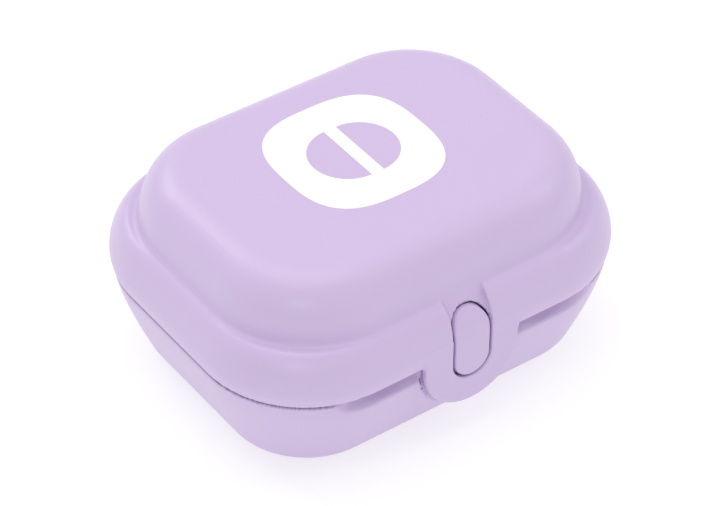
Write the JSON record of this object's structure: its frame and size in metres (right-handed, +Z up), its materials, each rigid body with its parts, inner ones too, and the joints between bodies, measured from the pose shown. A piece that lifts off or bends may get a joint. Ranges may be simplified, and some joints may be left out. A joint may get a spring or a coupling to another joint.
{
  "type": "pill splitter",
  "caption": "Rounded clamshell pocket case with a guarded blade in the hinged lid, V-shaped pill grips and storage wells in the base, and a sprung push-button catch.",
  "frame": {"origin": "centre of the bounding box in plan, on the surface the feet rest on", "axes": "+Z up; +Y towards the hinge; -Y towards the catch button; +X to the right seen from the catch side"},
  "size_m": [0.096, 0.0812, 0.0454],
  "materials": {
    "shell": "satin lilac polypropylene",
    "white_print": "satin white inlay",
    "tray": "fine satin, pale lilac-white",
    "guard": "satin violet",
    "grip": "soft matt elastomer",
    "mat": "matt elastomer",
    "foot_rubber": "matt",
    "steel": "plain stainless",
    "blade_steel": "ground stainless"
  },
  "bodies": {
    "base": {"base_shell": "shell", "feet": "foot_rubber", "hinge_pin": "steel", "splitter_tray": "tray", "tray_screws": "steel", "pill_grip_left": "grip", "pill_grip_right": "grip", "cutting_mat": "mat", "rim_seal": "grip", "catch_leaf": "steel"},
    "lid": {"lid_shell": "shell", "label_plate": "white_print", "label_motif": "shell", "lid_liner": "tray", "liner_screws": "steel", "blade_carrier": "tray", "carrier_screws": "steel", "blade": "blade_steel", "blade_clamp": "steel", "clamp_screws": "steel", "guide_pins": "steel", "button_housing": "tray", "housing_screws": "steel"},
    "button": {"latch_button": "shell", "button_spring": "steel"},
    "guard": {"blade_guard": "guard", "guard_springs": "steel"}
  },
  "joints": [
    {"name": "lid_hinge", "type": "hinge", "parent": "base", "child": "lid", "pos_m": [0, 0.03805, 0.02145], "axis": [-1, 0, 0], "range_deg": [0, 120], "deforming": ["catch_leaf"]},
    {"name": "button_press", "type": "slide", "parent": "lid", "child": "button", "axis": [0, 1, 0], "range_m": [0, 0.0018], "stiffness_N_per_m": 500, "springref_m": -0.002, "deforming": ["button_spring"]},
    {"name": "guard_slide", "type": "slide", "parent": "lid", "child": "guard", "axis": [0, 0, -1], "range_m": [0, 0.0075], "deforming": ["guard_springs"]}
  ],
  "couplings": [
    {"joint": "guard_slide", "follows": "lid_hinge", "m_per_rad": 0.00358}
  ]
}
